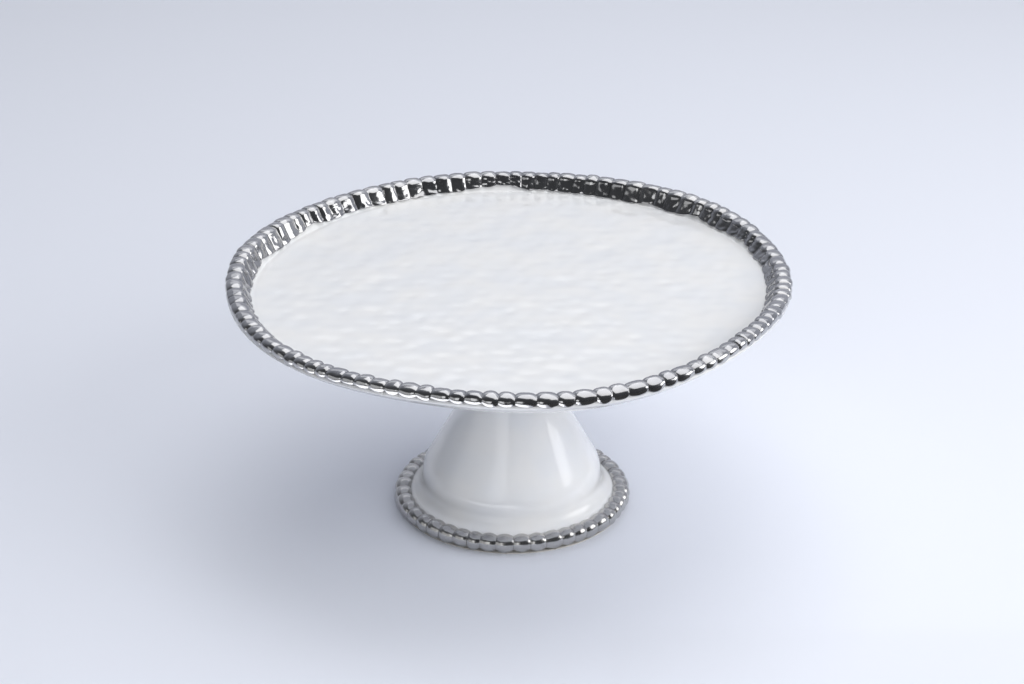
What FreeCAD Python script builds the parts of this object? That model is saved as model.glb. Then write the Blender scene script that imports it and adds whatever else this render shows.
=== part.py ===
"""Cake stand: a dished plate with a wavy beaded rim, on a hollow bell pedestal with a beaded foot.

Millimetres, +Z up. The origin is the centre of the foot, on the table. Angles run from +X towards +Y.
"""

import FreeCAD, Part
import math
import os

import Sketcher
from FreeCAD import Vector

SHEET = "Sizes"
RING_POINTS = 72  # points that a closed wavy curve is drawn through
LOBE_POINTS = 9  # points that one bead's cross-section is drawn through
BEAD_STATIONS = (0.0, 0.15, 0.5, 0.85, 1.0)  # places along a bead where its section is set
SEW_TOLERANCE = 0.001

SIZES = (
    ("rim_radius", 149.0),  # plate axis to the middle of the rim beads
    ("rim_height", 138.0),  # table to the middle of the rim beads
    ("rim_bead_count", 106),
    ("rim_bead_half_width", 5.5),
    ("rim_bead_half_height", 3.5),
    ("rim_bead_groove", 1.0),  # how far the groove between two beads cuts in
    ("rim_seat_share", 0.7),  # depth of a bead's seat, as a share of its half height in the groove
    ("rim_land_margin", 0.3),  # land beyond the beads' seat on each side
    ("bead_bed", 0.05),  # hair's gap between a band of beads and what carries it
    ("floor_drop", 6.5),  # middle of a bead down to the plate's floor
    ("floor_radius", 132.0),
    ("plate_thickness", 6.5),
    ("underside_radius", 136.0),  # flat part of the underside
    ("register_height", 4.0),
    ("register_wall", 4.0),
    ("register_clearance", 0.4),
    ("luting_bed", 1.0),  # slip between the pedestal's top and the plate
    ("luting_fillet", 7.0),  # radius of the slip fillet outside the joint
    ("neck_radius", 22.0),
    ("wall", 5.0),  # pedestal wall
    ("cone_lean", 29.0),  # degrees from upright
    ("shoulder_radius", 25.0),
    ("bell_base", 16.5),  # height of the bell's widest part above the table
    ("skirt_width", 6.5),  # widest part of the bell out to the flange's edge
    ("flange_height", 8.5),
    ("flange_radius", 57.0),
    ("foot_bead_count", 46),
    ("foot_bead_width", 9.8),
    ("foot_bead_height", 9.8),
    ("foot_bead_groove", 0.9),
    ("foot_bead_squareness", 2.7),  # 2 is an ellipse, higher is squarer
    ("foot_ring_height", 0.6),
    ("foot_ring_inset", 3.4),  # outer edge of the beads in to the bare ring's edge
)

# The rim wanders in and out, and up and down: (waves per turn, size in mm, angle of a crest).
RIM_OUT_WAVES = ((3, 1.5, 50.0), (4, 1.4, 19.0))
RIM_UP_WAVES = ((2, 1.4, -38.0), (3, 1.5, 58.0), (4, 0.7, -25.0), (5, 0.9, -35.0))


def make_sheet(doc):
    """Put every driving size in a sheet, one to a row, under its own name."""
    sheet = doc.addObject("Spreadsheet::Sheet", SHEET)
    for row, (name, number) in enumerate(SIZES, start=1):
        sheet.set(f"A{row}", name)
        sheet.set(f"B{row}", str(number))
        sheet.setAlias(f"B{row}", name)
    doc.recompute()
    return sheet


def wave(waves, angle):
    """Sum of the waves at an angle in degrees."""
    return sum(size * math.cos(math.radians(order * (angle - crest))) for order, size, crest in waves)


def place(radius, angle, height):
    """The point at a radius and an angle in degrees, at a height."""
    turn = math.radians(angle)
    return Vector(radius * math.cos(turn), radius * math.sin(turn), height)


def wavy_ring(radius, height, share):
    """Closed smooth curve about the axis that follows a share of the rim's waves."""
    angles = [360.0 * step / RING_POINTS for step in range(RING_POINTS)]
    points = [
        place(radius + share * wave(RIM_OUT_WAVES, a), a, height + share * wave(RIM_UP_WAVES, a))
        for a in angles
    ]
    curve = Part.BSplineCurve()
    curve.interpolate(Points=points, PeriodicFlag=True)
    return Part.Wire([curve.toShape()])


def sewn_solid(faces):
    """One closed solid from faces whose edges meet."""
    shape = Part.Compound(faces)
    shape.sewShape(SEW_TOLERANCE)
    solid = Part.Solid(shape.Shells[0])
    if solid.Volume < 0:
        solid.reverse()
    return solid


def plate_dish(sizes):
    """The plate without its register ring: flat floor, cove, wavy rim land, rising underside, flat base."""
    land = sizes.rim_height - seat_drop(sizes) - sizes.bead_bed
    floor = sizes.rim_height - sizes.floor_drop
    base = floor - sizes.plate_thickness
    half_seat = seat_half_width(sizes) + sizes.rim_land_margin
    land_inner = sizes.rim_radius - half_seat
    land_outer = sizes.rim_radius + half_seat
    steps = (0.0, 0.3, 0.6, 0.85, 1.0)

    def flank(inner_radius, inner_height, outer_radius, rise):
        return [
            wavy_ring(
                inner_radius + (outer_radius - inner_radius) * step,
                inner_height + (land - inner_height) * step**rise,
                step**rise,
            )
            for step in steps
        ]

    cove = flank(sizes.floor_radius, floor, land_inner, 2.2)
    belly = flank(sizes.underside_radius, base, land_outer, 1.8)
    shells = [
        Part.makeLoft(cove, False, False),
        Part.makeLoft([cove[-1], belly[-1]], False, True),
        Part.makeLoft(belly, False, False),
    ]
    faces = [Part.Face(cove[0]), Part.Face(belly[0])]
    for shell in shells:
        faces.extend(shell.Faces)
    return sewn_solid(faces)


def seat_drop(sizes):
    """Middle of a rim bead down to the flat it sits on."""
    return sizes.rim_seat_share * (sizes.rim_bead_half_height - sizes.rim_bead_groove)


def seat_half_width(sizes):
    """Half the width of the flat that a rim bead sits on."""
    dip = math.asin(seat_drop(sizes) / sizes.rim_bead_half_height)
    return sizes.rim_bead_half_width * math.cos(dip)


def smooth_edge(points):
    """An open smooth curve through the points."""
    curve = Part.BSplineCurve()
    curve.interpolate(Points=points)
    return curve.toShape()


def rim_section(sizes, angle, depth):
    """A rim bead's cross-section: an ellipse cut off flat at its seat, at a depth below its full size."""
    radius = sizes.rim_radius + wave(RIM_OUT_WAVES, angle)
    height = sizes.rim_height + wave(RIM_UP_WAVES, angle)
    half_width = sizes.rim_bead_half_width - depth
    half_height = sizes.rim_bead_half_height - depth
    dip = math.asin(seat_drop(sizes) / half_height)
    points = []
    for step in range(LOBE_POINTS):
        lift = -dip + (math.pi + 2 * dip) * step / (LOBE_POINTS - 1)
        points.append(
            place(radius + half_width * math.cos(lift), angle, height + half_height * math.sin(lift))
        )
    return Part.Wire([smooth_edge(points), Part.makeLine(points[-1], points[0])])


def foot_section(sizes, angle, depth):
    """A foot bead's cross-section: a rounded corner on a flat base, at a depth below its full size."""
    seat = sizes.flange_radius + sizes.bead_bed
    base = sizes.foot_ring_height
    width = sizes.foot_bead_width - depth
    height = sizes.foot_bead_height - depth
    power = 2.0 / sizes.foot_bead_squareness
    points = []
    for step in range(LOBE_POINTS):
        lift = 0.5 * math.pi * step / (LOBE_POINTS - 1)
        out = width * abs(math.cos(lift)) ** power
        up = height * math.sin(lift) ** power
        points.append(place(seat + out, angle, base + up))
    corner = place(seat, angle, base)
    return Part.Wire(
        [smooth_edge(points), Part.makeLine(points[-1], corner), Part.makeLine(corner, points[0])]
    )


def beaded_band(sizes, section, count, groove):
    """A closed band of beads: each bead is a loft, and neighbours share the section in their groove."""
    pitch = 360.0 / count
    faces = []
    for bead in range(count):
        wires = [
            section(sizes, pitch * ((bead + station) % count), groove * (2.0 * station - 1.0) ** 4)
            for station in BEAD_STATIONS
        ]
        faces.extend(Part.makeLoft(wires, False, False).Faces)
    return sewn_solid(faces)


def shape_feature(doc, label, shape):
    """A document object that holds a shape made by formula."""
    feature = doc.addObject("Part::Feature", label)
    feature.Label = label
    feature.Shape = shape
    return feature


def bound_cylinder(doc, name, radius, height, base):
    """An upright cylinder on the axis whose sizes and place are bound to the sheet."""
    cylinder = doc.addObject("Part::Cylinder", name)
    cylinder.setExpression("Radius", radius)
    cylinder.setExpression("Height", height)
    cylinder.setExpression("Placement.Base.z", base)
    return cylinder


def revolved_body(doc, label, corners):
    """A ring turned from a closed outline.

    Each corner is (radius, height, bend): two expressions, and how the outline runs on to the next
    corner, which is None for a straight line, or (radius expression, side) for an arc. Side is 1 where
    the arc's centre is left of the way the outline runs, and -1 where it is right.
    """
    body = doc.addObject("PartDesign::Body", label)
    body.Label = label
    sketch = body.newObject("Sketcher::SketchObject", f"{label}_outline")
    upright = next(f for f in body.Origin.OriginFeatures if f.Role == "XZ_Plane")
    sketch.AttachmentSupport = [(upright, "")]
    sketch.MapMode = "FlatFace"

    def number(expression):
        found = sketch.evalExpression(expression)
        return float(getattr(found, "Value", found))

    spots = [Vector(number(radius), number(height), 0) for radius, height, _ in corners]
    ends = []
    for index, (_, _, bend) in enumerate(corners):
        here = spots[index]
        there = spots[(index + 1) % len(spots)]
        if bend is None:
            edge = sketch.addGeometry(Part.LineSegment(here, there))
            ends.append((edge, 1, 2))
            continue
        expression, side = bend
        radius = number(expression)
        along = there - here
        left = Vector(-along.y, along.x, 0).normalize()
        reach = math.sqrt(radius**2 - (along.Length / 2) ** 2)
        centre = (here + there) * 0.5 + left * (side * reach)
        first, last = (here, there) if side > 0 else (there, here)
        arc = Part.ArcOfCircle(
            Part.Circle(centre, Vector(0, 0, 1), radius),
            math.atan2(first.y - centre.y, first.x - centre.x),
            math.atan2(last.y - centre.y, last.x - centre.x),
        )
        edge = sketch.addGeometry(arc)
        ends.append((edge, 1, 2) if side > 0 else (edge, 2, 1))
        size = sketch.addConstraint(Sketcher.Constraint("Radius", edge, radius))
        sketch.setExpression(f"Constraints[{size}]", expression)
    for index, (radius, height, _) in enumerate(corners):
        edge, start, _ = ends[index]
        before, _, end = ends[index - 1]
        sketch.addConstraint(Sketcher.Constraint("Coincident", before, end, edge, start))
        across = Sketcher.Constraint("DistanceX", -1, 1, edge, start, spots[index].x)
        sketch.setExpression(f"Constraints[{sketch.addConstraint(across)}]", radius)
        up = Sketcher.Constraint("DistanceY", -1, 1, edge, start, spots[index].y)
        sketch.setExpression(f"Constraints[{sketch.addConstraint(up)}]", height)
    turned = body.newObject("PartDesign::Revolution", f"{label}_turned")
    turned.Profile = sketch
    turned.ReferenceAxis = (sketch, ["V_Axis"])
    turned.Angle = 360
    return body


def plate_parts(doc, sizes):
    """The dished plate, fused with the register ring that drops into the pedestal's mouth."""
    dish = shape_feature(doc, "plate_dish", plate_dish(sizes))
    top = f"{SHEET}.rim_height - {SHEET}.floor_drop - {SHEET}.plate_thickness"
    outer = f"{SHEET}.neck_radius - {SHEET}.wall - {SHEET}.register_clearance"
    # the ring starts inside the dish, so that the two fuse into one solid
    height = f"{SHEET}.register_height + {SHEET}.plate_thickness / 2"
    base = f"{top} - {SHEET}.register_height"
    ring = doc.addObject("Part::Cut", "register_ring")
    ring.Base = bound_cylinder(doc, "register_outside", outer, height, base)
    ring.Tool = bound_cylinder(doc, "register_inside", f"{outer} - {SHEET}.register_wall", height, base)
    plate = doc.addObject("Part::Fuse", "plate")
    plate.Label = "plate"
    plate.Base = dish
    plate.Tool = ring
    return plate


def joint_luting(doc):
    """The bed of slip on top of the pedestal, and its hollow fillet outside the neck."""
    under = f"{SHEET}.rim_height - {SHEET}.floor_drop - {SHEET}.plate_thickness"
    bed = f"{under} - {SHEET}.luting_bed"
    neck = f"{SHEET}.neck_radius"
    mouth = f"{SHEET}.neck_radius - {SHEET}.wall"
    drop = f"{under} - {SHEET}.luting_fillet"
    reach = f"{neck} + {SHEET}.luting_fillet"
    return revolved_body(
        doc,
        "joint_luting",
        (
            (mouth, bed, None),
            (neck, bed, None),
            (neck, drop, (f"{SHEET}.luting_fillet", -1)),
            (reach, under, None),
            (mouth, under, None),
        ),
    )


def cone_terms():
    """Expressions for the cone's two ends and what its neighbours share with it."""
    lean = f"({SHEET}.cone_lean * 1 deg)"
    bell = f"({SHEET}.flange_radius - {SHEET}.skirt_width)"
    foot = f"({bell} - {SHEET}.shoulder_radius * (1 - cos({lean})))"
    foot_height = f"({SHEET}.bell_base + {SHEET}.shoulder_radius * sin({lean}))"
    return {
        "lean": lean,
        "bell": bell,
        "foot": foot,
        "foot_height": foot_height,
        "inner_foot": f"{foot} - {SHEET}.wall * cos({lean})",
        "inner_foot_height": f"{foot_height} - {SHEET}.wall * sin({lean})",
    }


def pedestal_cone(doc):
    """The upper part of the pedestal: upright neck, hollow curve and straight cone."""
    terms = cone_terms()
    lean = terms["lean"]
    neck = f"{SHEET}.neck_radius"
    wall = f"{SHEET}.wall"
    top = f"({SHEET}.rim_height - {SHEET}.floor_drop - {SHEET}.plate_thickness - {SHEET}.luting_bed)"

    # Cone and neck would meet in a corner. The hollow curve starts and ends at one reach from it, which
    # is always less than the neck above the corner and the cone below it.
    across = f"({terms['foot']} - {neck})"
    corner = f"({terms['foot_height']} + {across} / tan({lean}))"
    above = f"({top} - {corner})"
    below = f"({across} / sin({lean}))"
    reach = f"({above} * {below} / ({above} + {below}))"
    flare = f"({reach} / tan({lean} / 2))"
    neck_foot = f"({corner} + {reach})"
    cone_top = f"({neck} + {reach} * sin({lean}))"
    cone_top_height = f"({corner} - {reach} * cos({lean}))"
    shift_in = f"{wall} * cos({lean})"
    shift_down = f"{wall} * sin({lean})"
    return revolved_body(
        doc,
        "pedestal_cone",
        (
            (neck, top, None),
            (neck, neck_foot, (flare, 1)),
            (cone_top, cone_top_height, None),
            (terms["foot"], terms["foot_height"], None),
            (terms["inner_foot"], terms["inner_foot_height"], None),
            (f"{cone_top} - {shift_in}", f"{cone_top_height} - {shift_down}", (f"{flare} + {wall}", -1)),
            (f"{neck} - {wall}", neck_foot, None),
            (f"{neck} - {wall}", top, None),
        ),
    )


def pedestal_bell(doc):
    """The lower part of the pedestal: rounded shoulder, hollow skirt and flange."""
    terms = cone_terms()
    shoulder = f"{SHEET}.shoulder_radius"
    wall = f"{SHEET}.wall"
    bell = terms["bell"]
    bell_base = f"{SHEET}.bell_base"
    flange = f"{SHEET}.flange_radius"
    flange_top = f"{SHEET}.flange_height"
    base = f"{SHEET}.foot_ring_height"

    # the skirt's hollow curve leaves the bell upright and ends on the flange's edge
    skirt_drop = f"({bell_base} - {flange_top})"
    skirt = f"({SHEET}.skirt_width^2 + {skirt_drop}^2) / (2 * {SHEET}.skirt_width)"
    return revolved_body(
        doc,
        "pedestal_bell",
        (
            (terms["foot"], terms["foot_height"], (shoulder, -1)),
            (bell, bell_base, (skirt, 1)),
            (flange, flange_top, None),
            (flange, base, None),
            (f"{bell} - {wall}", base, None),
            (f"{bell} - {wall}", bell_base, (f"{shoulder} - {wall}", 1)),
            (terms["inner_foot"], terms["inner_foot_height"], None),
        ),
    )


def foot_ring(doc):
    """The bare ring, ground flat, that meets the table."""
    inner = f"{SHEET}.flange_radius - {SHEET}.skirt_width - {SHEET}.wall"
    outer = f"{SHEET}.flange_radius + {SHEET}.foot_bead_width - {SHEET}.foot_ring_inset"
    height = f"{SHEET}.foot_ring_height"
    ring = doc.addObject("Part::Cut", "foot_ring")
    ring.Label = "foot_ring"
    ring.Base = bound_cylinder(doc, "foot_ring_outside", outer, height, "0")
    ring.Tool = bound_cylinder(doc, "foot_ring_inside", inner, height, "0")
    return ring


def check(doc, parts):
    """Stop if any object failed, or any sub-part isn't one valid closed solid."""
    for item in doc.Objects:
        if "Invalid" in item.State or "Error" in item.State:
            raise RuntimeError(f"{item.Label} failed: {item.State}")
    for item in parts:
        shape = item.Shape
        if shape.isNull() or not shape.isValid() or len(shape.Solids) != 1:
            raise RuntimeError(f"{item.Label} isn't one valid solid")


def main():
    doc = FreeCAD.newDocument("cake_stand")
    sizes = make_sheet(doc)
    rim_band = beaded_band(sizes, rim_section, int(sizes.rim_bead_count), sizes.rim_bead_groove)
    foot_band = beaded_band(sizes, foot_section, int(sizes.foot_bead_count), sizes.foot_bead_groove)
    parts = (
        plate_parts(doc, sizes),
        shape_feature(doc, "rim_beads", rim_band),
        joint_luting(doc),
        pedestal_cone(doc),
        pedestal_bell(doc),
        shape_feature(doc, "foot_beads", foot_band),
        foot_ring(doc),
    )
    doc.recompute()
    check(doc, parts)
    os.makedirs("parts", exist_ok=True)
    for item in parts:
        item.Shape.exportStep(f"parts/{item.Label}.step")
        box = item.Shape.BoundBox
        print(
            f"{item.Label}: {item.Shape.Volume / 1000:.2f} cm3, "
            f"x {box.XMin:.1f}..{box.XMax:.1f}, y {box.YMin:.1f}..{box.YMax:.1f}, "
            f"z {box.ZMin:.1f}..{box.ZMax:.1f}"
        )


main()
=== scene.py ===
import math
import random

import bmesh
import bpy
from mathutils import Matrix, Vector, noise


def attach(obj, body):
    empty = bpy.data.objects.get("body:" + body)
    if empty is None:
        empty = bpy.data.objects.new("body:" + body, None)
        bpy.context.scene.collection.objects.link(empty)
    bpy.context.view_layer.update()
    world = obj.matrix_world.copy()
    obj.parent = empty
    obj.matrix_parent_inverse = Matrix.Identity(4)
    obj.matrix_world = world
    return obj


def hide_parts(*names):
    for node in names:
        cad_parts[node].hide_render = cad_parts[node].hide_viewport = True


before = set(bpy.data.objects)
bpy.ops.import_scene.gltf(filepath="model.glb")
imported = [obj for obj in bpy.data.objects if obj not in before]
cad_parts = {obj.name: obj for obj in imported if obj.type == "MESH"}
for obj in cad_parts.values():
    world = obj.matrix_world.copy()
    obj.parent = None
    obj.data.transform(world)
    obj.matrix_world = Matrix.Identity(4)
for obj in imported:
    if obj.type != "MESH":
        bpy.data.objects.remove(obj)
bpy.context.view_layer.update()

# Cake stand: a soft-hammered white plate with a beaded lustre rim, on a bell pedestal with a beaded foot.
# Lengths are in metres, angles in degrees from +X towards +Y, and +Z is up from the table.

MM = 0.001

# Sizes that the frame was built with.
RIM_RADIUS = 149.0 * MM
RIM_HEIGHT = 138.0 * MM
FLOOR_HEIGHT = RIM_HEIGHT - 6.5 * MM
UNDER_HEIGHT = FLOOR_HEIGHT - 6.5 * MM
UNDER_RADIUS = 134.0 * MM
REGISTER_RADIUS = 16.6 * MM
REGISTER_WALL = 4.0 * MM
REGISTER_HEIGHT = 4.0 * MM
NECK_RADIUS = 22.0 * MM
WALL = 5.0 * MM
LUTING_BED = 1.0 * MM
LUTING_FILLET = 7.0 * MM
CONE_LEAN = 29.0
SHOULDER_RADIUS = 25.0 * MM
BELL_RADIUS = 50.5 * MM
BELL_BASE = 16.5 * MM
FLANGE_HEIGHT = 8.5 * MM
FLANGE_RADIUS = 57.0 * MM
FOOT_BASE = 0.6 * MM

# The rim wanders in and out, and up and down: (waves per turn, size, angle of a crest).
RIM_OUT_WAVES = ((3, 1.5 * MM, 50.0), (4, 1.4 * MM, 19.0))
RIM_UP_WAVES = ((2, 1.4 * MM, -38.0), (3, 1.5 * MM, 58.0), (4, 0.7 * MM, -25.0), (5, 0.9 * MM, -35.0))

RIM_BEADS = 106
RIM_BEAD_COLUMNS = 14
FOOT_BEADS = 46
FOOT_BEAD_COLUMNS = 16
PLATE_COLUMNS = 432
BELL_COLUMNS = 240
BELL_NODES = ("pedestal_cone", "pedestal_bell")


# ---------------------------------------------------------------- shapes

def wave(waves, angle):
    """Sum of the waves at an angle in degrees."""
    return sum(size * math.cos(math.radians(order * (angle - crest))) for order, size, crest in waves)


def ease(value, low, high):
    """0 below low, 1 above high, and a smooth rise between them."""
    share = min(1.0, max(0.0, (value - low) / (high - low)))
    return share * share * (3.0 - 2.0 * share)


def arc(centre, across, up, start, end, steps):
    """Points (radius, height) along an upright ellipse's arc, angles in degrees, both ends included."""
    points = []
    for step in range(steps + 1):
        turn = math.radians(start + (end - start) * step / steps)
        points.append((centre[0] + across * math.cos(turn), centre[1] + up * math.sin(turn)))
    return points


def line(start, end, steps):
    """Points along a straight line, without its ends."""
    return [
        (start[0] + (end[0] - start[0]) * step / steps, start[1] + (end[1] - start[1]) * step / steps)
        for step in range(1, steps)
    ]


def turned(columns, rows, closed, surface, groove=None):
    """Wrap a grid round the axis, then set each vertex by surface(column, row).

    The surface gives (angle, radius, height). A closed one also joins its last row to its first.
    Groove gives a column's depth in a groove, which the mesh keeps as an attribute.
    """
    spans = rows if closed else rows - 1
    bm = bmesh.new()
    bmesh.ops.create_grid(bm, x_segments=columns, y_segments=spans, size=0.5)
    depth_layer = bm.verts.layers.float.new("groove") if groove else None
    for vertex in bm.verts:
        column = round((vertex.co.x + 0.5) * columns) % columns
        row = round((vertex.co.y + 0.5) * spans) % rows
        angle, radius, height = surface(column, row)
        turn = math.radians(angle)
        vertex.co = (radius * math.cos(turn), radius * math.sin(turn), height)
        if groove:
            vertex[depth_layer] = groove(column)
    bmesh.ops.remove_doubles(bm, verts=bm.verts, dist=1e-7)
    bmesh.ops.recalc_face_normals(bm, faces=bm.faces)
    return bm


def piece(name, bm, material, slot, *nodes):
    """Make a finished mesh a piece of the stand, in place of CAD nodes."""
    for face in bm.faces:
        face.smooth = True
    mesh = bpy.data.meshes.new(name)
    bm.to_mesh(mesh)
    bm.free()
    mesh.materials.append(material)
    made = bpy.data.objects.new(name, mesh)
    bpy.context.scene.collection.objects.link(made)
    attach(made, "root")
    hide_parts(*nodes)
    return made


# ---------------------------------------------------------------- beads

# How steeply the ends of a bead round off: low powers round it all along, high ones only at its ends.
RIM_TOP_POWER = 3.4
RIM_FLANK_POWER = 2.2
FOOT_TOP_POWER = 2.6
FOOT_FLANK_POWER = 1.8
CREVICE_POWER = 5.0  # for the narrow line of painted shade in a groove
ROUND_STEPS = 26  # spans of a bead's cross-section


def uneven_beads(count, columns, seed):
    """One station per column of a band of hand-made beads, as a dictionary.

    The edge is 1 in a groove and 0 at a bead's crown. Swell, out, up, tilt and depth are the bead's own.
    """
    draw = random.Random(seed)
    lengths = [draw.uniform(0.80, 1.20) for _ in range(count)]
    total = sum(lengths)
    stations = []
    start = 0.0
    for length in lengths:
        own = {
            "swell": draw.uniform(0.94, 1.0),
            "out": draw.uniform(-0.45, 0.05) * MM,
            "up": draw.uniform(-0.35, 0.1) * MM,
            "tilt": draw.uniform(-11.0, 11.0),
        }
        depth = draw.uniform(0.8, 1.0)
        skew = draw.uniform(-0.18, 0.18)
        for column in range(columns):
            even = column / columns
            share = 0.35 * even + 0.325 - 0.325 * math.cos(math.pi * even)
            along = 2.0 * share - 1.0
            leant = along + skew * (1.0 - along * along)
            angle = 360.0 * (start + length * share) / total
            stations.append(own | {"angle": angle, "edge": abs(leant), "depth": depth})
        start += length
    return stations


def squared_arc(centre, across, up, square, tilt, start, end, steps):
    """Points along a squarish oval's arc, tilted about its centre, angles in degrees, both ends included."""
    points = []
    lean = math.radians(tilt)
    for step in range(steps + 1):
        turn = math.radians(start + (end - start) * step / steps)
        side, lift = math.cos(turn), math.sin(turn)
        x = math.copysign(across * abs(side) ** square, side)
        y = math.copysign(up * abs(lift) ** square, lift)
        x, y = x * math.cos(lean) - y * math.sin(lean), x * math.sin(lean) + y * math.cos(lean)
        points.append((centre[0] + x, centre[1] + y))
    return points


def lobe(station, power):
    """How far a bead stands up at a station: near 0 in a groove, 1 at the crown."""
    return 1.0 - station["depth"] * station["edge"] ** power


def blend(low, high, share):
    """A point between two points."""
    return (low[0] + (high[0] - low[0]) * share, low[1] + (high[1] - low[1]) * share)


def band(stations, section):
    """A closed band whose cross-section at each station is section(station), a list of points.

    Its groove attribute is 1 in the grooves and 0 on the crowns; the lustre materials darken their colour by
    it as painted shade.
    """
    sections = [section(station) for station in stations]
    columns, rows = len(stations), len(sections[0])
    return turned(
        columns,
        rows,
        True,
        lambda column, row: (stations[column]["angle"], *sections[column][row]),
        lambda column: 1.0 - lobe(stations[column], CREVICE_POWER),
    )


# ---------------------------------------------------------------- rim

BEAD_WIDE = 5.0 * MM  # half width of a rim bead
BEAD_TALL = 3.35 * MM  # half height
BEAD_GROOVE = 1.25 * MM  # depth of the grooves between the beads
BEAD_UNDER = -58.0  # where a bead's round starts, below its outer side
BEAD_SPLAY = 0.16  # how far the outer flank runs out for each unit that it drops
BEAD_SQUARE = 0.86  # 1 is an ellipse, lower is squarer
COVE_TURN = 156.0  # where the groove's round runs on into the inner wall, in degrees from outwards
CROWN_TURN = 171.0  # and the crown's
COVE_LEAN = 31.0  # the wall's lean from upright there
COVE_TOE = 1.3 * MM  # how far in the wall's rounded foot reaches
COVE_DROP = RIM_HEIGHT + 1.0 * MM - FLOOR_HEIGHT
GLAZE_SINK = 0.3 * MM  # bare glaze below the lustre's grooves
LUSTRE_BACK = 0.9 * MM  # how far behind the wall the lustre's hidden side runs
LUSTRE_STEPS = 12  # spans of the lustre down the wall
ROW_PITCH = 0.42 * MM  # distance between rows that the dents are spaced by
DENT_PITCH = 3.9 * MM
DENT_SIZE = 0.30 * MM
DENT_DROP = 0.16 * MM
WALL_DENT_PITCH = 3.2 * MM
WALL_DENT_SIZE = 0.42 * MM


def cove_point(angle, share):
    """The inner wall in the grooves, from the bead, share 0, to the floor, share 1, with its normal."""
    turn = math.radians(180.0 - COVE_TURN)
    start_out = RIM_RADIUS + wave(RIM_OUT_WAVES, angle)
    start_out -= (BEAD_WIDE - BEAD_GROOVE) * math.cos(turn) ** BEAD_SQUARE
    start_up = RIM_HEIGHT + wave(RIM_UP_WAVES, angle)
    start_up += (BEAD_TALL - BEAD_GROOVE) * math.sin(turn) ** BEAD_SQUARE
    bend_out = start_out - COVE_DROP * math.tan(math.radians(COVE_LEAN))
    end_out = bend_out - COVE_TOE
    rest = 1.0 - share
    radius = rest * rest * start_out + 2 * rest * share * bend_out + share * share * end_out
    height = rest * rest * start_up + (2 * rest * share + share * share) * FLOOR_HEIGHT
    run = rest * (bend_out - start_out) + share * (end_out - bend_out)
    fall = rest * (FLOOR_HEIGHT - start_up)
    length = math.hypot(run, fall)
    return (radius, height), (fall / length, -run / length)


def lustre_depth(angle):
    """How far down the inner wall the metal lustre was painted, as a share of the wall."""
    turn = math.radians(angle)
    brush = noise.noise(Vector((7.0 * math.cos(turn), 7.0 * math.sin(turn), 3.0)))
    back = math.exp(-(((angle - 93.0) / 13.0) ** 2))
    left = math.exp(-(((angle - 150.0) / 28.0) ** 2))
    right = math.exp(-(((angle - 30.0) / 26.0) ** 2))
    return min(0.95, max(0.22, 0.80 - 0.42 * back - 0.32 * left - 0.28 * right + 0.34 * brush))


def dent(angle, row, pitch, size):
    """Small irregularity of hand-shaped beads, in and out."""
    turn = math.radians(angle)
    spot = Vector((RIM_RADIUS * math.cos(turn), RIM_RADIUS * math.sin(turn), ROW_PITCH * row))
    return size * noise.noise(spot / pitch)


def bead_round(station, centre, middle):
    """The round of a rim bead at a station, from under its outer side over to its inner side."""
    angle = station["angle"]
    top, flank = lobe(station, RIM_TOP_POWER), lobe(station, RIM_FLANK_POWER)
    wide, tall = BEAD_WIDE * station["swell"], BEAD_TALL * station["swell"]
    tilt = station["tilt"]
    crown = squared_arc(centre, wide, tall, BEAD_SQUARE, tilt, BEAD_UNDER, CROWN_TURN, ROUND_STEPS)
    low_wide, low_tall = BEAD_WIDE - BEAD_GROOVE, BEAD_TALL - BEAD_GROOVE
    groove = squared_arc(middle, low_wide, low_tall, BEAD_SQUARE, 0.0, BEAD_UNDER, COVE_TURN, ROUND_STEPS)
    points = []
    for row, (low, high) in enumerate(zip(groove, crown)):
        side = abs(2.0 * row / ROUND_STEPS - 1.15)
        radius, height = blend(low, high, top + (flank - top) * min(1.0, side))
        outer = ease(radius, middle[0] - 1.0 * MM, middle[0] + 3.0 * MM)
        radius += BEAD_SPLAY * outer * (middle[1] + 0.4 * BEAD_TALL - height)
        calm = ease(row, 1.0, 5.0) * top
        radius += dent(angle, row, DENT_PITCH, DENT_SIZE) * calm
        points.append((radius, height - abs(dent(angle, row + 60.0, DENT_PITCH, DENT_DROP)) * calm))
    return points


def rim_section(station):
    """The rim band at a station: the bead's round, the lustre down the wall, and its hidden back."""
    angle, top = station["angle"], lobe(station, RIM_TOP_POWER)
    middle = (RIM_RADIUS + wave(RIM_OUT_WAVES, angle), RIM_HEIGHT + wave(RIM_UP_WAVES, angle))
    centre = (middle[0] + station["out"] * top, middle[1] + station["up"] * top)
    points = bead_round(station, centre, middle)
    depth = lustre_depth(angle)
    start, _ = cove_point(angle, 0.0)
    lag = (points[-1][0] - start[0], points[-1][1] - start[1])
    for step in range(1, LUSTRE_STEPS + 1):
        share = depth * step / LUSTRE_STEPS
        (radius, height), normal = cove_point(angle, share)
        hold = 1.0 - 0.8 * share**1.6
        soft = dent(angle, ROUND_STEPS + 1.6 * step, WALL_DENT_PITCH, WALL_DENT_SIZE) * ease(step, 0.0, 3.0)
        radius += lag[0] * hold + soft * normal[0]
        points.append((radius, height + lag[1] * hold * (1.0 - share) + soft * normal[1] + 0.1 * MM * share))
    for step in range(LUSTRE_STEPS, -1, -2):
        (radius, height), normal = cove_point(angle, depth * step / LUSTRE_STEPS)
        points.append((radius - LUSTRE_BACK * normal[0], height - LUSTRE_BACK * normal[1]))
    return points


def rim_band(material):
    """The beaded rim with the lustre that runs down the inner wall."""
    stations = uneven_beads(RIM_BEADS, RIM_BEAD_COLUMNS, 11)
    return piece("rim_band", band(stations, rim_section), material, "mirror_lustre", "rim_beads")


# ---------------------------------------------------------------- plate

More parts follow.
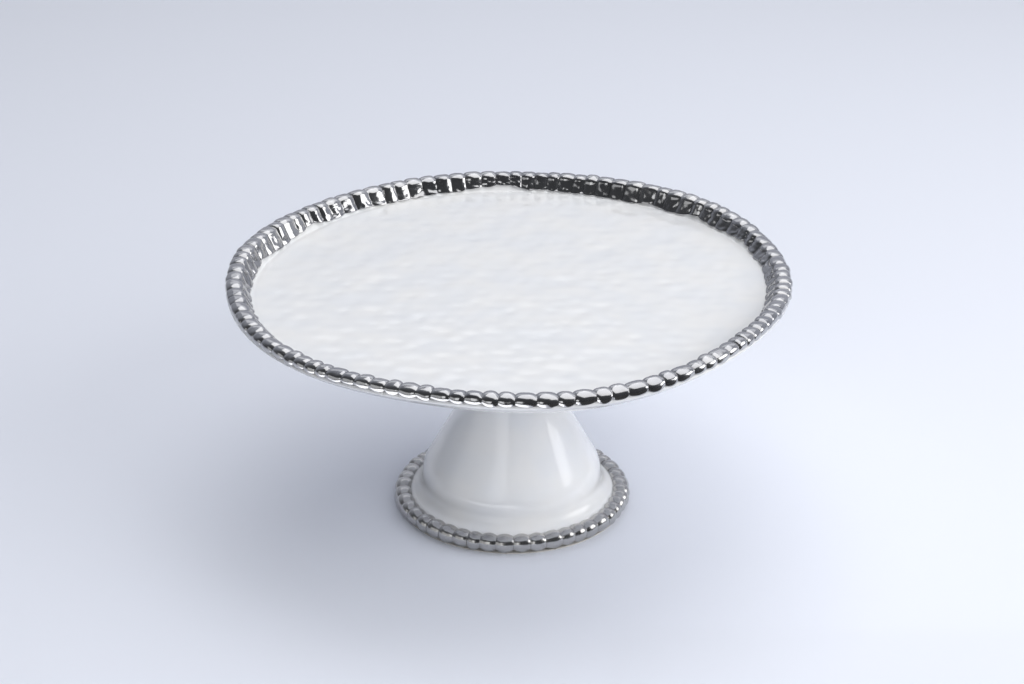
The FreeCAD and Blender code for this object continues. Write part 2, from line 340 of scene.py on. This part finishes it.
MARK_PITCH = 9.5 * MM
MARK_ROW_PITCH = 8.5 * MM
MARK_STRAY = 0.28  # how far a mark strays, as a share of the pitch
MARK_SLOPE = 0.06  # the rows' slope across the plate
MARK_CELL = 12.0 * MM
FLOOR_ROWS = 92
WALL_ROWS = 10
BACK_ROWS = 12


def hammer_marks():
    """Place, depth and spread of the soft dimples on the plate's floor, in staggered uneven rows."""
    draw = random.Random(5)
    marks = []
    rows = int(RIM_RADIUS / MARK_ROW_PITCH) + 1
    for row in range(-rows, rows + 1):
        for spot in range(-rows - 1, rows + 2):
            stray_x, stray_y = draw.uniform(-MARK_STRAY, MARK_STRAY), draw.uniform(-MARK_STRAY, MARK_STRAY)
            x = (spot + 0.5 * (row % 2)) * MARK_PITCH + stray_x * MARK_PITCH
            y = row * MARK_ROW_PITCH + stray_y * MARK_ROW_PITCH + MARK_SLOPE * x
            marks.append((x, y, draw.uniform(0.14, 0.40) * MM, draw.uniform(4.2, 6.0) * MM))
    return marks


def mark_grid(marks):
    """The marks sorted into square cells, so that the near ones are found fast."""
    grid = {}
    for mark in marks:
        cell = (math.floor(mark[0] / MARK_CELL), math.floor(mark[1] / MARK_CELL))
        grid.setdefault(cell, []).append(mark)
    return grid


def relief_at(grid, x, y):
    """Depth of the hammered relief at a place on the floor."""
    column, row = math.floor(x / MARK_CELL), math.floor(y / MARK_CELL)
    depth = 0.0
    for across in (-1, 0, 1):
        for along in (-1, 0, 1):
            for mark_x, mark_y, sink, spread in grid.get((column + across, row + along), ()):
                away = ((x - mark_x) ** 2 + (y - mark_y) ** 2) / (spread * spread)
                if away < 4.0:
                    depth += sink * math.exp(-1.4 * away)
    return depth


def plate_outline():
    """Rows of the plate from the middle of its floor, over the rim and under to the register ring.

    Each row is (kind, value): a floor radius, a share of the wall, or a point on the back.
    """
    rows = []
    foot = cove_point(0.0, 1.0)[0][0] - wave(RIM_OUT_WAVES, 0.0)
    for row in range(FLOOR_ROWS):
        rows.append(("floor", foot * row / FLOOR_ROWS))
    for row in range(WALL_ROWS + 1):
        rows.append(("wall", 1.0 - row / WALL_ROWS))
    land = (RIM_RADIUS + 3.7 * MM, RIM_HEIGHT - 2.1 * MM)
    back = [(RIM_RADIUS, RIM_HEIGHT - 1.6 * MM), land]
    lip = (RIM_RADIUS + 4.3 * MM, RIM_HEIGHT - 3.2 * MM)
    under = (UNDER_RADIUS, UNDER_HEIGHT)
    back.append(lip)
    for step in range(1, BACK_ROWS + 1):
        share = step / BACK_ROWS
        fall = 1.0 - (1.0 - share) ** 1.7
        back.append((lip[0] + (under[0] - lip[0]) * share, lip[1] + (under[1] - lip[1]) * fall))
    inner = REGISTER_RADIUS - REGISTER_WALL
    tip = UNDER_HEIGHT - REGISTER_HEIGHT
    back += line(under, (REGISTER_RADIUS, UNDER_HEIGHT), 24)
    back += [(REGISTER_RADIUS, UNDER_HEIGHT), (REGISTER_RADIUS, tip + 0.5 * MM)]
    back += [(REGISTER_RADIUS - 0.5 * MM, tip), (inner + 0.5 * MM, tip)]
    back += [(inner, tip + 0.5 * MM), (inner, UNDER_HEIGHT), (0.5 * inner, UNDER_HEIGHT)]
    back.append((0.0, UNDER_HEIGHT))
    return rows + [("back", point) for point in back]


def plate(material):
    """The dished plate with its hammered floor."""
    rows = plate_outline()
    grid = mark_grid(hammer_marks())

    def surface(column, row):
        angle = 360.0 * column / PLATE_COLUMNS
        kind, value = rows[row]
        if kind == "floor":
            radius = value + wave(RIM_OUT_WAVES, angle) * ease(value, 0.05, 0.135)
            turn = math.radians(angle)
            sink = relief_at(grid, radius * math.cos(turn), radius * math.sin(turn))
            return angle, radius, FLOOR_HEIGHT - sink * (1.0 - 0.6 * ease(value, 0.125, 0.14))
        if kind == "wall":
            (radius, height), normal = cove_point(angle, value)
            return angle, radius - GLAZE_SINK * normal[0], height - GLAZE_SINK * normal[1]
        radius, height = value
        share = ease(radius, 0.07, 0.146)
        return (
            angle,
            radius + wave(RIM_OUT_WAVES, angle) * share,
            height + wave(RIM_UP_WAVES, angle) * ease(radius, UNDER_RADIUS, RIM_RADIUS),
        )

    bm = turned(PLATE_COLUMNS, len(rows), False, surface)
    return piece("plate_body", bm, material, "white_glaze", "plate")


# ---------------------------------------------------------------- pedestal

def bell_outline():
    """The bell's closed outline: down the outside from the neck to the flange, and up the inside."""
    lean = math.radians(CONE_LEAN)
    cone_foot = BELL_RADIUS - SHOULDER_RADIUS * (1.0 - math.cos(lean))
    cone_foot_height = BELL_BASE + SHOULDER_RADIUS * math.sin(lean)
    neck_top = UNDER_HEIGHT - LUTING_BED
    corner = cone_foot_height + (cone_foot - NECK_RADIUS) / math.tan(lean)
    above = neck_top - corner
    below = (cone_foot - NECK_RADIUS) / math.sin(lean)
    reach = above * below / (above + below)
    flare = reach / math.tan(lean / 2)
    cone_top = NECK_RADIUS + reach * math.sin(lean)
    cone_top_height = corner - reach * math.cos(lean)
    flare_height = corner + reach
    flare_centre = (NECK_RADIUS + flare, flare_height)
    shoulder_centre = (BELL_RADIUS - SHOULDER_RADIUS, BELL_BASE)
    skirt_out = FLANGE_RADIUS - BELL_RADIUS
    skirt_drop = BELL_BASE - FLANGE_HEIGHT
    skirt_radius = (skirt_out**2 + skirt_drop**2) / (2 * skirt_out)
    skirt_turn = math.degrees(math.asin(skirt_drop / skirt_radius))
    skirt_centre = (BELL_RADIUS + skirt_radius, BELL_BASE)

    points = [(NECK_RADIUS, neck_top)] + line((NECK_RADIUS, neck_top), (NECK_RADIUS, flare_height), 6)
    points += arc(flare_centre, flare, flare, 180, 180 + CONE_LEAN, 30)
    points += line((cone_top, cone_top_height), (cone_foot, cone_foot_height), 4)
    points += arc(shoulder_centre, SHOULDER_RADIUS, SHOULDER_RADIUS, CONE_LEAN, 0, 10)
    points += arc(skirt_centre, skirt_radius, skirt_radius, 180, 180 + skirt_turn, 10)[1:]
    points += [(FLANGE_RADIUS + 0.4 * MM, FLANGE_HEIGHT - 0.8 * MM), (FLANGE_RADIUS + 0.4 * MM, 1.2 * MM)]
    points += [(FLANGE_RADIUS, FOOT_BASE), (BELL_RADIUS - WALL, FOOT_BASE)]
    inner = SHOULDER_RADIUS - WALL
    points += arc(shoulder_centre, inner, inner, 0, CONE_LEAN, 10)
    points += arc(flare_centre, flare + WALL, flare + WALL, 180 + CONE_LEAN, 180, 30)
    points += [(NECK_RADIUS - WALL, neck_top)]
    return points


def cast_wobble(angle, height):
    """The slight unevenness of a hand-finished casting."""
    turn = math.radians(angle)
    spot = Vector((1.6 * math.cos(turn), 1.6 * math.sin(turn), height * 30.0))
    return 0.45 * MM * noise.noise(spot)


def bell(material):
    """The whole pedestal in one casting."""
    outline = bell_outline()

    def surface(column, row):
        angle = 360.0 * column / BELL_COLUMNS
        radius, height = outline[row]
        calm = ease(height, 0.010, 0.022) * (1.0 - ease(height, 0.105, 0.118))
        return angle, radius + cast_wobble(angle, height) * calm, height

    bm = turned(BELL_COLUMNS, len(outline), True, surface)
    return piece("bell", bm, material, "white_glaze", *BELL_NODES)


def luting(material):
    """The slip that beds the plate on the neck and fills the corner outside it."""
    bed = UNDER_HEIGHT - LUTING_BED
    drop = UNDER_HEIGHT - LUTING_FILLET
    mouth = NECK_RADIUS - WALL
    corner = (NECK_RADIUS + LUTING_FILLET, drop)
    outline = [(mouth, bed), (NECK_RADIUS - 1.0 * MM, bed), (NECK_RADIUS - 0.2 * MM, drop)]
    outline += arc(corner, LUTING_FILLET, LUTING_FILLET, 180, 90, 12)
    outline += [(corner[0], UNDER_HEIGHT + 0.2 * MM), (mouth, UNDER_HEIGHT + 0.2 * MM)]

    def surface(column, row):
        angle = 360.0 * column / BELL_COLUMNS
        return angle, *outline[row]

    bm = turned(BELL_COLUMNS, len(outline), True, surface)
    return piece("luting_fillet", bm, material, "white_glaze", "joint_luting")


# ---------------------------------------------------------------- foot

FOOT_BEAD_PLACE = (FLANGE_RADIUS + 4.5 * MM, 5.6 * MM)
FOOT_BEAD_WIDE = 5.4 * MM  # half width of a foot bead
FOOT_BEAD_TALL = 5.0 * MM  # half height
FOOT_GROOVE_WIDE = 3.9 * MM
FOOT_GROOVE_TALL = 3.4 * MM
FOOT_SQUARE = 0.92
FOOT_TILT = -4.0
FOOT_START = -80.0
FOOT_END = 170.0
FOOT_STAND_OFF = 0.25 * MM  # gap between the beads and the table
FOOT_DENT_PITCH = 1.5 * MM
FOOT_DENT_SIZE = 0.12 * MM


def foot_section(station):
    """The foot band at a station: the bead's round, closed against the flange."""
    top, flank = lobe(station, FOOT_TOP_POWER), lobe(station, FOOT_FLANK_POWER)
    wide, tall = FOOT_BEAD_WIDE * station["swell"], FOOT_BEAD_TALL * station["swell"]
    tilt = 0.4 * station["tilt"] + FOOT_TILT
    ends = (FOOT_START, FOOT_END, ROUND_STEPS)
    crown = squared_arc(FOOT_BEAD_PLACE, wide, tall, FOOT_SQUARE, tilt, *ends)
    groove = squared_arc(
        FOOT_BEAD_PLACE, FOOT_GROOVE_WIDE, FOOT_GROOVE_TALL, FOOT_SQUARE, FOOT_TILT, *ends
    )
    points = []
    for row, (low, high) in enumerate(zip(groove, crown)):
        side = abs(2.0 * row / ROUND_STEPS - 1.1)
        radius, height = blend(low, high, top + (flank - top) * min(1.0, side))
        radius += station["out"] * top + dent(station["angle"], row, FOOT_DENT_PITCH, FOOT_DENT_SIZE) * top
        points.append((radius, max(height + min(station["up"], 0.0) * top, FOOT_STAND_OFF)))
    points.append((FLANGE_RADIUS + 0.2 * MM, FLANGE_HEIGHT - 0.6 * MM))
    points.append((FLANGE_RADIUS + 0.2 * MM, 1.0 * MM))
    return points


def foot_band(material):
    """The beaded ring round the flange."""
    stations = uneven_beads(FOOT_BEADS, FOOT_BEAD_COLUMNS, 23)
    return piece("foot_band", band(stations, foot_section), material, "satin_lustre", "foot_beads")


# ---------------------------------------------------------------- materials

def group(name, inputs, outputs):
    """An empty shader node group with number inputs and number outputs."""
    tree = bpy.data.node_groups.new(name, "ShaderNodeTree")
    for title, value in inputs:
        socket = tree.interface.new_socket(title, in_out="INPUT", socket_type="NodeSocketFloat")
        socket.default_value = value
    for title in outputs:
        tree.interface.new_socket(title, in_out="OUTPUT", socket_type="NodeSocketFloat")
    return tree, tree.nodes.new("NodeGroupInput"), tree.nodes.new("NodeGroupOutput")


def noise_node(tree, scale, detail, stretch=(1.0, 1.0, 1.0)):
    """Noise on object coordinates, in features per metre."""
    where = tree.nodes.new("ShaderNodeTexCoord")
    mapping = tree.nodes.new("ShaderNodeMapping")
    mapping.inputs["Scale"].default_value = stretch
    texture = tree.nodes.new("ShaderNodeTexNoise")
    texture.inputs["Scale"].default_value = scale
    texture.inputs["Detail"].default_value = detail
    tree.links.new(where.outputs["Object"], mapping.inputs["Vector"])
    tree.links.new(mapping.outputs["Vector"], texture.inputs["Vector"])
    return texture


def math_node(tree, operation, first, second, third=None):
    """A math node fed by sockets or plain numbers."""
    node = tree.nodes.new("ShaderNodeMath")
    node.operation = operation
    for socket, value in zip(node.inputs, (first, second, third)):
        if value is None:
            continue
        if isinstance(value, (int, float)):
            socket.default_value = value
        else:
            tree.links.new(value, socket)
    return node.outputs[0]


def unevenness_group():
    """Soft large unevenness plus fine grain, both round 0.5: what glaze and lustre share."""
    inputs = (("Large Amount", 1.0), ("Fine Amount", 0.3))
    tree, source, sink = group("unevenness", inputs, ("Mask", "Height"))
    large = noise_node(tree, 38.0, 2.0)
    fine = noise_node(tree, 900.0, 3.0)
    broad = math_node(tree, "MULTIPLY", large.outputs["Fac"], source.outputs["Large Amount"])
    grain = math_node(tree, "MULTIPLY", fine.outputs["Fac"], source.outputs["Fine Amount"])
    total = math_node(tree, "ADD", broad, grain)
    tree.links.new(large.outputs["Fac"], sink.inputs["Mask"])
    tree.links.new(total, sink.inputs["Height"])
    return tree


def speck_group():
    """Rare tiny pinholes and specks, as a mask from 0 to 1."""
    tree, source, sink = group("specks", (("Rarity", 0.75),), ("Mask",))
    texture = noise_node(tree, 420.0, 1.0)
    over = math_node(tree, "SUBTRACT", texture.outputs["Fac"], source.outputs["Rarity"])
    sharp = math_node(tree, "MULTIPLY", over, 20.0)
    clamp = tree.nodes.new("ShaderNodeClamp")
    tree.links.new(sharp, clamp.inputs["Value"])
    tree.links.new(clamp.outputs[0], sink.inputs["Mask"])
    return tree


def material_of(name):
    """A new node material with its shader."""
    made = bpy.data.materials.new(name)
    made.use_nodes = True
    return made, made.node_tree, made.node_tree.nodes["Principled BSDF"]


def placed(tree, shared, **values):
    """A shared group placed in a material with its own values."""
    node = tree.nodes.new("ShaderNodeGroup")
    node.node_tree = shared
    for title, value in values.items():
        node.inputs[title.replace("_", " ")].default_value = value
    return node


def ramp(tree, factor, stops):
    """A colour ramp: stops are (place, colour)."""
    node = tree.nodes.new("ShaderNodeValToRGB")
    while len(node.color_ramp.elements) < len(stops):
        node.color_ramp.elements.new(0.5)
    for element, (spot, colour) in zip(node.color_ramp.elements, stops):
        element.position = spot
        element.color = (*colour, 1.0)
    tree.links.new(factor, node.inputs["Fac"])
    return node.outputs["Color"]


def ranged(tree, factor, low, high):
    """The factor, 0 to 1, mapped onto low to high."""
    node = tree.nodes.new("ShaderNodeMapRange")
    node.inputs["To Min"].default_value = low
    node.inputs["To Max"].default_value = high
    tree.links.new(factor, node.inputs["Value"])
    return node.outputs["Result"]


def painted_groove_shade(tree, colour, dark, start):
    """The colour, fading to a dark one in the mesh's grooves: painted shade in the grooves."""
    where = tree.nodes.new("ShaderNodeAttribute")
    where.attribute_name = "groove"
    depth = tree.nodes.new("ShaderNodeMapRange")
    depth.interpolation_type = "SMOOTHSTEP"
    depth.inputs["From Min"].default_value = start
    tree.links.new(where.outputs["Fac"], depth.inputs["Value"])
    # painted shade: the mix turns the colour dark wherever the groove mask is high
    mix = tree.nodes.new("ShaderNodeMix")
    mix.data_type = "RGBA"
    mix.inputs["B"].default_value = (*dark, 1.0)
    tree.links.new(depth.outputs["Result"], mix.inputs["Factor"])
    tree.links.new(colour, mix.inputs["A"])
    return mix.outputs["Result"]


def bump(tree, shader, height, strength, distance):
    """Fine relief on a material's surface."""
    node = tree.nodes.new("ShaderNodeBump")
    node.inputs["Strength"].default_value = strength
    node.inputs["Distance"].default_value = distance
    tree.links.new(height, node.inputs["Height"])
    tree.links.new(node.outputs["Normal"], shader.inputs["Normal"])


def white_glaze(unevenness, specks):
    """Glossy white glaze, a little uneven, with rare specks."""
    made, tree, shader = material_of("white_glaze")
    uneven = placed(tree, unevenness, Large_Amount=1.0, Fine_Amount=0.05)
    dots = placed(tree, specks, Rarity=0.84)
    tint = ramp(tree, uneven.outputs["Mask"], ((0.35, (0.765, 0.775, 0.79)), (0.65, (0.80, 0.797, 0.79))))
    mix = tree.nodes.new("ShaderNodeMix")
    mix.data_type = "RGBA"
    mix.inputs["B"].default_value = (0.62, 0.60, 0.57, 1.0)
    tree.links.new(dots.outputs["Mask"], mix.inputs["Factor"])
    tree.links.new(tint, mix.inputs["A"])
    tree.links.new(mix.outputs["Result"], shader.inputs["Base Color"])
    tree.links.new(ranged(tree, uneven.outputs["Mask"], 0.10, 0.20), shader.inputs["Roughness"])
    bump(tree, shader, uneven.outputs["Height"], 0.25, 0.0006)
    shader.inputs["IOR"].default_value = 1.5
    shader.inputs["Coat Weight"].default_value = 0.5
    shader.inputs["Coat Roughness"].default_value = 0.09
    return made


def mirror_lustre(unevenness):
    """Bright platinum lustre, with painted shade darkening it in the grooves."""
    made, tree, shader = material_of("mirror_lustre")
    uneven = placed(tree, unevenness, Large_Amount=0.6, Fine_Amount=0.16)
    tint = ramp(tree, uneven.outputs["Mask"], ((0.3, (0.45, 0.45, 0.46)), (0.7, (0.58, 0.575, 0.57))))
    # painted shade: the base colour fades to dark grey in the grooves between the beads
    tint = painted_groove_shade(tree, tint, (0.20, 0.20, 0.205), 0.6)
    tree.links.new(tint, shader.inputs["Base Color"])
    tree.links.new(ranged(tree, uneven.outputs["Mask"], 0.09, 0.21), shader.inputs["Roughness"])
    bump(tree, shader, uneven.outputs["Height"], 0.15, 0.0004)
    shader.inputs["Metallic"].default_value = 1.0
    return made


def satin_lustre(unevenness):
    """Softer silver lustre with a fine grain, with painted shade darkening it in the grooves."""
    made, tree, shader = material_of("satin_lustre")
    uneven = placed(tree, unevenness, Large_Amount=0.6, Fine_Amount=0.5)
    tint = ramp(tree, uneven.outputs["Mask"], ((0.3, (0.46, 0.455, 0.45)), (0.7, (0.56, 0.55, 0.54))))
    # painted shade: the base colour fades darker in the grooves between the foot beads
    tint = painted_groove_shade(tree, tint, (0.30, 0.295, 0.29), 0.6)
    tree.links.new(tint, shader.inputs["Base Color"])
    tree.links.new(ranged(tree, uneven.outputs["Mask"], 0.15, 0.26), shader.inputs["Roughness"])
    bump(tree, shader, uneven.outputs["Height"], 0.3, 0.0003)
    shader.inputs["Metallic"].default_value = 1.0
    return made


def bare_clay(unevenness, specks):
    """Ground unglazed clay, toned darker and greyer than the clay itself as painted shade for the foot's
    contact shadow.
    """
    made, tree, shader = material_of("bare_clay")
    uneven = placed(tree, unevenness, Large_Amount=0.4, Fine_Amount=1.0)
    dots = placed(tree, specks, Rarity=0.66)
    # painted shade: the clay's tones are set darker and greyer than the light clay, to match the shadow
    # under the foot
    tint = ramp(tree, uneven.outputs["Mask"], ((0.3, (0.50, 0.485, 0.46)), (0.7, (0.60, 0.58, 0.55))))
    mix = tree.nodes.new("ShaderNodeMix")
    mix.data_type = "RGBA"
    mix.inputs["B"].default_value = (0.36, 0.34, 0.31, 1.0)
    tree.links.new(dots.outputs["Mask"], mix.inputs["Factor"])
    tree.links.new(tint, mix.inputs["A"])
    tree.links.new(mix.outputs["Result"], shader.inputs["Base Color"])
    bump(tree, shader, uneven.outputs["Height"], 0.6, 0.0005)
    shader.inputs["Roughness"].default_value = 0.85
    return made


# ---------------------------------------------------------------- studio

CAMERA_DISTANCE = 1.4356
CAMERA_HEIGHT_ANGLE = 28.9
CAMERA_TILT = 25.36
CAMERA_LENS = 88.5


def camera():
    """A long lens, looking down at the stand from the front."""
    data = bpy.data.cameras.new("camera")
    data.lens = CAMERA_LENS
    data.sensor_width = 36.0
    made = bpy.data.objects.new("camera", data)
    rise = math.radians(CAMERA_HEIGHT_ANGLE)
    made.location = (0.0, -CAMERA_DISTANCE * math.cos(rise), CAMERA_DISTANCE * math.sin(rise))
    made.rotation_euler = (math.radians(90.0 - CAMERA_TILT), 0.0, 0.0)
    bpy.context.scene.collection.objects.link(made)
    bpy.context.scene.camera = made


def soft_box(name, place, size, power, colour, seen=True):
    """A large area light aimed at the middle of the stand. One that isn't seen leaves no reflection."""
    data = bpy.data.lights.new(name, "AREA")
    data.shape = "RECTANGLE"
    data.size, data.size_y = size
    data.energy = power
    data.color = colour
    made = bpy.data.objects.new(name, data)
    made.location = place
    aim = Vector((0.0, 0.0, 0.08)) - Vector(place)
    made.rotation_euler = aim.to_track_quat("-Z", "Y").to_euler()
    made.visible_glossy = seen
    bpy.context.scene.collection.objects.link(made)
    return made


def paper(name, low, high, height, colour):
    """A flat sheet of the studio, as a grid."""
    bm = bmesh.new()
    bmesh.ops.create_grid(bm, x_segments=8, y_segments=8, size=0.5)
    for vertex in bm.verts:
        vertex.co.x = low[0] + (vertex.co.x + 0.5) * (high[0] - low[0])
        vertex.co.y = low[1] + (vertex.co.y + 0.5) * (high[1] - low[1])
        vertex.co.z = height
    mesh = bpy.data.meshes.new(name)
    bm.to_mesh(mesh)
    bm.free()
    made_material, tree, shader = material_of(name)
    shader.inputs["Base Color"].default_value = (*colour, 1.0)
    shader.inputs["Roughness"].default_value = 0.7
    mesh.materials.append(made_material)
    made = bpy.data.objects.new(name, mesh)
    bpy.context.scene.collection.objects.link(made)
    return made


def only_reflected(made):
    """Show a card in reflections alone."""
    made.visible_camera = False
    made.visible_diffuse = False
    made.visible_shadow = False
    made.visible_transmission = False


def studio_air():
    """The room: pale paper to the back, dark towards the camera and dim to the left."""
    world = bpy.data.worlds.new("studio_air")
    world.use_nodes = True
    tree = world.node_tree
    where = tree.nodes.new("ShaderNodeTexCoord")
    split = tree.nodes.new("ShaderNodeSeparateXYZ")
    tree.links.new(where.outputs["Generated"], split.inputs["Vector"])
    lean = math_node(tree, "MULTIPLY_ADD", split.outputs["X"], 0.35, split.outputs["Y"])
    place = math_node(tree, "MULTIPLY_ADD", lean, 0.5, 0.5)
    stops = (
        (0.0, (0.052, 0.054, 0.058)),
        (0.36, (0.075, 0.078, 0.085)),
        (0.50, (0.13, 0.135, 0.15)),
        (0.68, (0.30, 0.315, 0.36)),
        (1.0, (0.50, 0.52, 0.59)),
    )
    background = tree.nodes["Background"]
    tree.links.new(ramp(tree, place, stops), background.inputs["Color"])
    background.inputs["Strength"].default_value = 1.0
    bpy.context.scene.world = world
    bpy.context.scene.view_settings.view_transform = "Standard"


def studio():
    """A pale floor, soft light from above, the right and the front, and cards for the lustre to reflect."""
    paper("floor", (-6.0, -6.0), (6.0, 8.0), 0.0, (0.775, 0.80, 0.87))
    only_reflected(paper("dark_front", (-4.0, -5.0), (4.0, -0.62), 0.002, (0.02, 0.02, 0.02)))
    only_reflected(paper("dark_right", (0.05, -0.62), (2.5, -0.14), 0.002, (0.04, 0.04, 0.04)))
    glow = soft_box("floor_glow", (-0.23, -0.37, 0.003), (0.5, 0.44), 1.0, (1.0, 1.0, 1.0))
    glow.rotation_euler = (math.radians(180.0), 0.0, 0.0)
    only_reflected(glow)
    soft_box("window_right", (1.4, -0.05, 0.75), (0.9, 0.8), 5.5, (1.0, 1.0, 1.0))
    soft_box("overhead", (0.40, 0.40, 1.7), (2.1, 1.35), 11.0, (0.99, 0.99, 1.0))
    soft_box("overhead_back", (0.2, 1.7, 1.5), (2.4, 0.7), 2.6, (0.97, 0.98, 1.0))
    only_reflected(soft_box("left_card", (-1.4, -0.9, 0.5), (1.6, 0.9), 2.4, (0.98, 0.99, 1.0)))
    only_reflected(soft_box("front_card", (-0.8, -2.2, 0.85), (0.9, 1.4), 4.5, (0.98, 0.99, 1.0)))
    soft_box("top_fill", (-0.1, 0.1, 2.3), (2.0, 2.0), 14.0, (0.98, 0.99, 1.0), seen=False)
    soft_box("front_fill", (0.25, -2.1, 1.1), (1.8, 1.4), 19.0, (0.97, 0.98, 1.0), seen=False)
    soft_box("key_right", (1.5, -1.1, 1.25), (1.3, 1.3), 15.0, (1.0, 1.0, 1.0), seen=False)
    studio_air()


# ---------------------------------------------------------------- build

def build():
    """Every piece of the stand, and a better material for the foot ring: bare clay toned darker as painted
    shade.
    """
    unevenness = unevenness_group()
    specks = speck_group()
    glaze = white_glaze(unevenness, specks)
    plate(glaze)
    rim_band(mirror_lustre(unevenness))
    bell(glaze)
    luting(glaze)
    foot_band(satin_lustre(unevenness))
    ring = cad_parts["foot_ring"]
    clay = bare_clay(unevenness, specks)
    for slot in ring.material_slots:
        slot.material = clay


camera()
studio()
build()
